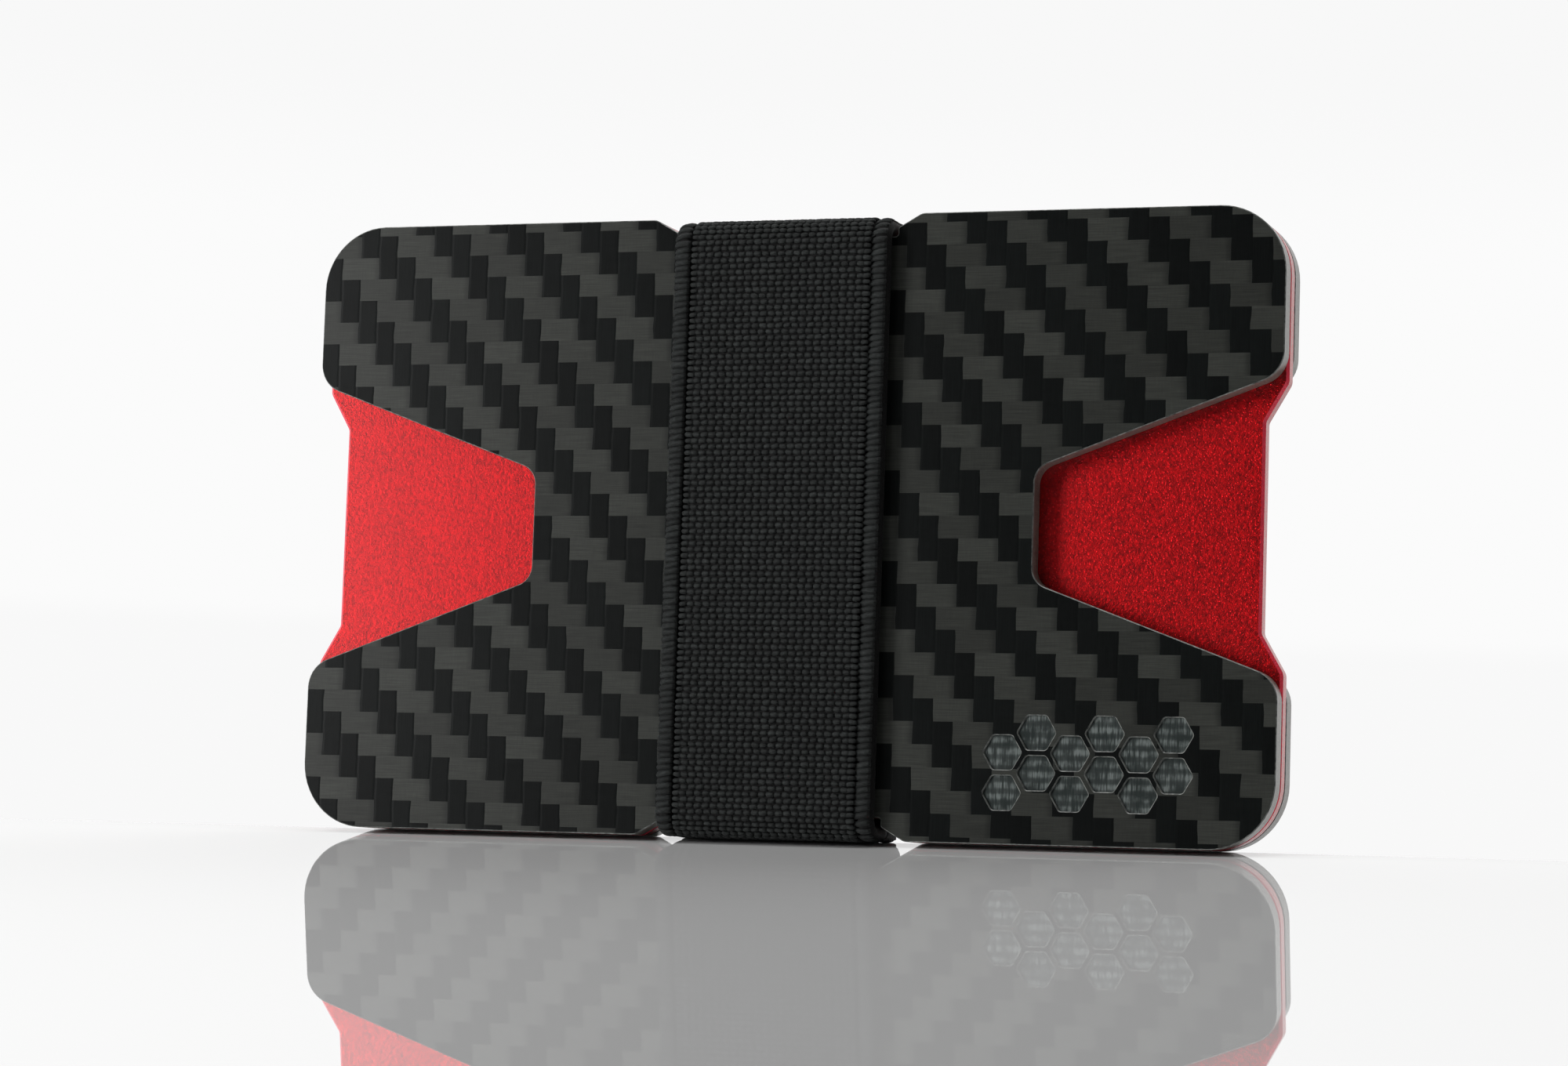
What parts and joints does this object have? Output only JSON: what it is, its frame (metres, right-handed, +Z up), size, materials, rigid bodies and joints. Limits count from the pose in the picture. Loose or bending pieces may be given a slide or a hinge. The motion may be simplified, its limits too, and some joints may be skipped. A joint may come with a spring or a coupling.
{
  "type": "card wallet",
  "caption": "Card wallet of flat carbon-fibre plates with thumb notches over a red aluminium divider, held together by a wide elastic loop.",
  "frame": {"origin": "middle of the footprint of the wallet standing on its long edge", "axes": "+X along the plates, +Y from the front plate to the rear plate, +Z up along the plates' short side"},
  "size_m": [0.088, 0.0116, 0.054],
  "materials": {
    "carbon_laminate": "matt twill carbon laminate",
    "red_aluminium": "bead blasted and anodised red",
    "elastic_webbing": "woven black elastic",
    "black_thread": "polyester sewing thread"
  },
  "bodies": {
    "divider": {"divider_plate": "red_aluminium", "elastic_band": "elastic_webbing"},
    "front": {"front_plate": "carbon_laminate"},
    "rear": {"rear_plate": "carbon_laminate", "seam_thread": "black_thread"}
  },
  "joints": [
    {"name": "front_plate_spread", "type": "slide", "parent": "divider", "child": "front", "axis": [0, -1, 0], "range_m": [0, 0.004], "stiffness_N_per_m": 500, "springref_m": -0.001, "deforming": ["elastic_band"]},
    {"name": "rear_plate_spread", "type": "slide", "parent": "divider", "child": "rear", "axis": [0, 1, 0], "range_m": [0, 0.004], "stiffness_N_per_m": 500, "springref_m": -0.001, "deforming": ["elastic_band"]}
  ]
}
